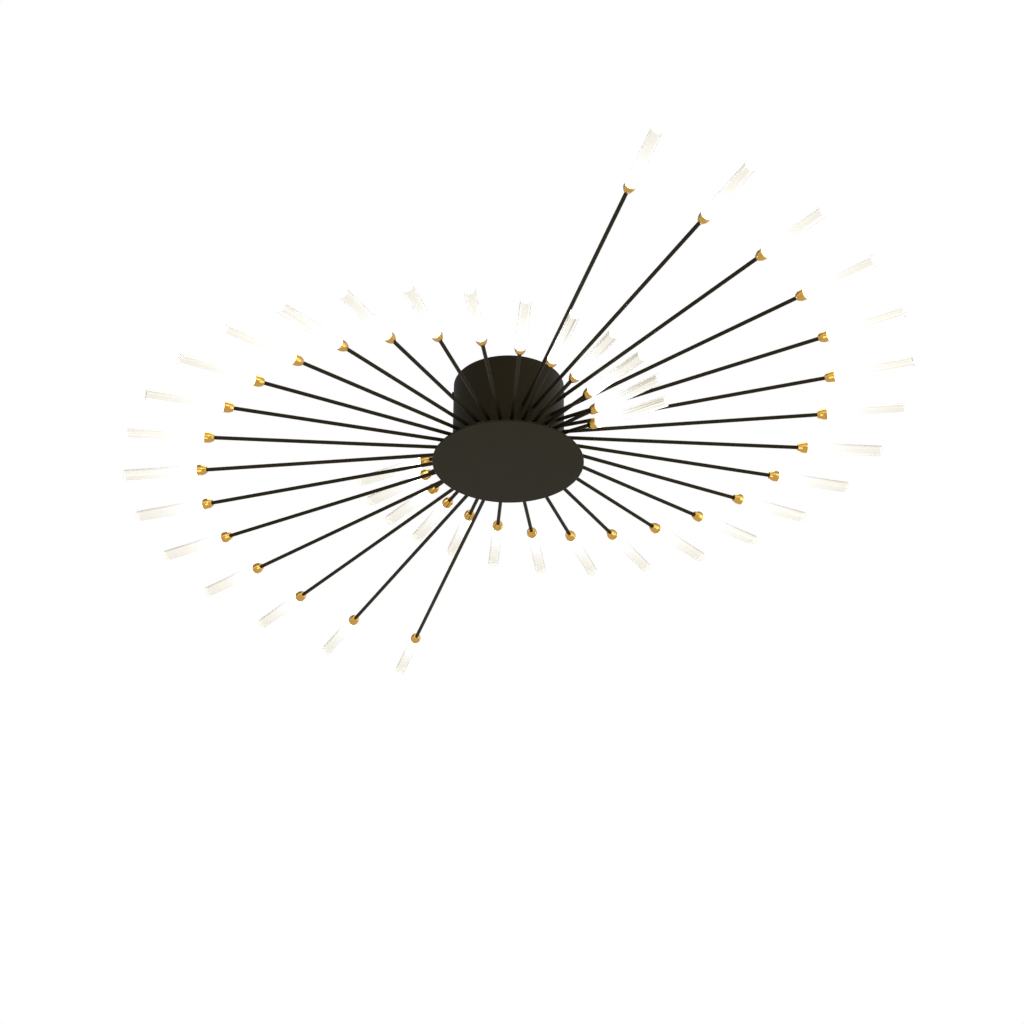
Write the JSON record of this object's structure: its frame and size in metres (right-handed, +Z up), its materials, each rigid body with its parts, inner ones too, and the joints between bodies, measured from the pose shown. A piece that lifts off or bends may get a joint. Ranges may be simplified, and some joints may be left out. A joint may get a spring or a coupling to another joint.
{
  "type": "flush mount ceiling light",
  "caption": "Flush-mount LED ceiling light: a round drum and disc carry spiral arms of thin radial rods, each ending in a gold cup that holds a clear acrylic light rod.",
  "frame": {"origin": "centre of the ceiling plane, on the top face of the bracket's strap between its two slots", "axes": "+Z up into the ceiling, along the drum's axis; +X along the bracket's strap"},
  "size_m": [1.0352, 1.248, 0.1215],
  "materials": {
    "black_coat": "satin warm-black coating on steel",
    "gold": "polished gold plating",
    "acrylic": "clear cast acrylic with polished ends, lit from the cup",
    "led": "warm white LED board",
    "zinc_steel": "bright zinc plate",
    "white_case": "fine-textured moulded case",
    "nylon": "natural nylon"
  },
  "bodies": {
    "fixture": {"drum_housing": "black_coat", "bottom_disc": "black_coat", "stud_nuts": "zinc_steel", "led_driver": "white_case", "terminal_block": "nylon", "ceiling_bracket": "zinc_steel", "earth_screw": "zinc_steel", "upper_rod_01": "black_coat", "upper_rod_02": "black_coat", "upper_rod_03": "black_coat", "upper_rod_04": "black_coat", "upper_rod_05": "black_coat", "upper_rod_06": "black_coat", "upper_rod_07": "black_coat", "upper_rod_08": "black_coat", "upper_rod_09": "black_coat", "upper_rod_10": "black_coat", "upper_rod_11": "black_coat", "upper_rod_12": "black_coat", "upper_rod_13": "black_coat", "upper_rod_14": "black_coat", "upper_rod_15": "black_coat", "upper_rod_16": "black_coat", "upper_rod_17": "black_coat", "upper_rod_18": "black_coat", "upper_rod_19": "black_coat", "upper_rod_20": "black_coat", "upper_rod_21": "black_coat", "lower_rod_01": "black_coat", "lower_rod_02": "black_coat", "lower_rod_03": "black_coat", "lower_rod_04": "black_coat", "lower_rod_05": "black_coat", "lower_rod_06": "black_coat", "lower_rod_07": "black_coat", "lower_rod_08": "black_coat", "lower_rod_09": "black_coat", "lower_rod_10": "black_coat", "lower_rod_11": "black_coat", "lower_rod_12": "black_coat", "lower_rod_13": "black_coat", "lower_rod_14": "black_coat", "lower_rod_15": "black_coat", "lower_rod_16": "black_coat", "lower_rod_17": "black_coat", "lower_rod_18": "black_coat", "lower_rod_19": "black_coat", "lower_rod_20": "black_coat", "lower_rod_21": "black_coat", "upper_lamp_cups": "gold", "upper_led_boards": "led", "upper_light_guides": "acrylic", "lower_lamp_cups": "gold", "lower_led_boards": "led", "lower_light_guides": "acrylic"},
    "side_screw_right": {"side_screw_right": "black_coat"},
    "side_screw_left": {"side_screw_left": "black_coat"}
  },
  "joints": [
    {"name": "right_screw_draw", "type": "slide", "parent": "fixture", "child": "side_screw_right", "axis": [1, 0, 0], "range_m": [0, 0.009]},
    {"name": "left_screw_draw", "type": "slide", "parent": "fixture", "child": "side_screw_left", "axis": [-1, 0, 0], "range_m": [0, 0.009]}
  ]
}
